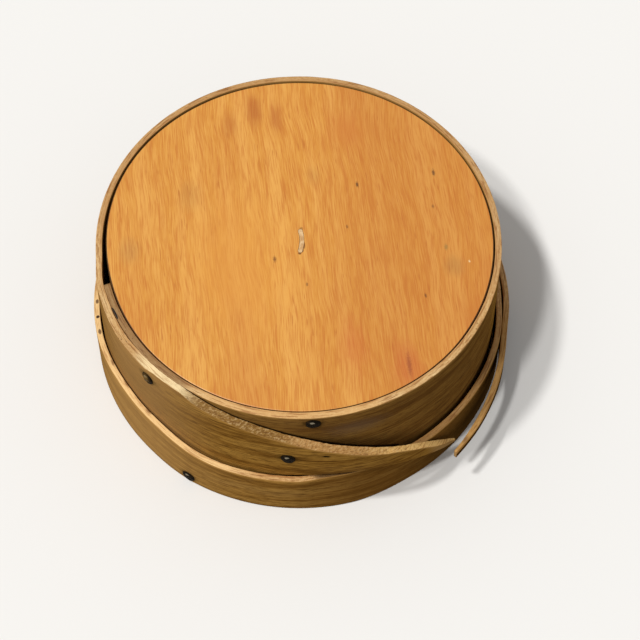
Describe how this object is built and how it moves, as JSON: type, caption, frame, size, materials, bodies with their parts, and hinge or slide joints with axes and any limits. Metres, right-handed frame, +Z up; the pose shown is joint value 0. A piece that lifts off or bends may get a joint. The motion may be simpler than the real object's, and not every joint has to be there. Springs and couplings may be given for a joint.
{
  "type": "round bentwood pantry box",
  "caption": "Round lidded wooden box of thin bent strips nailed to flat boards, stood upside down in its shallow lid, with the lapped strips' pointed ends sprung loose.",
  "frame": {"origin": "on the floor, at the middle of the lid board's outer face", "axes": "+Z up, along the axis of box and lid; +X to the right of the side where both loose ends stand out, as seen from -Y"},
  "size_m": [0.1493, 0.1488, 0.058],
  "materials": {
    "box_strip": "aged satin, olive brown",
    "bottom_board": "aged satin, orange tan",
    "plug": "dry end grain",
    "lid_strip": "aged satin, dark brown",
    "lid_board": "aged satin",
    "iron": "hand-made iron, dark and slightly rusty"
  },
  "bodies": {
    "lid": {"lid_band": "lid_strip", "lid_board": "lid_board", "lid_board_nails": "iron", "lid_lap_tacks": "iron"},
    "box": {"body_band": "box_strip", "bottom_board": "bottom_board", "centre_plug": "plug", "body_board_nails": "iron", "body_lap_tack": "iron"}
  },
  "joints": [
    {"name": "box_lift", "type": "slide", "parent": "lid", "child": "box", "axis": [0, 0, 1], "range_m": [0, 0.06]}
  ]
}
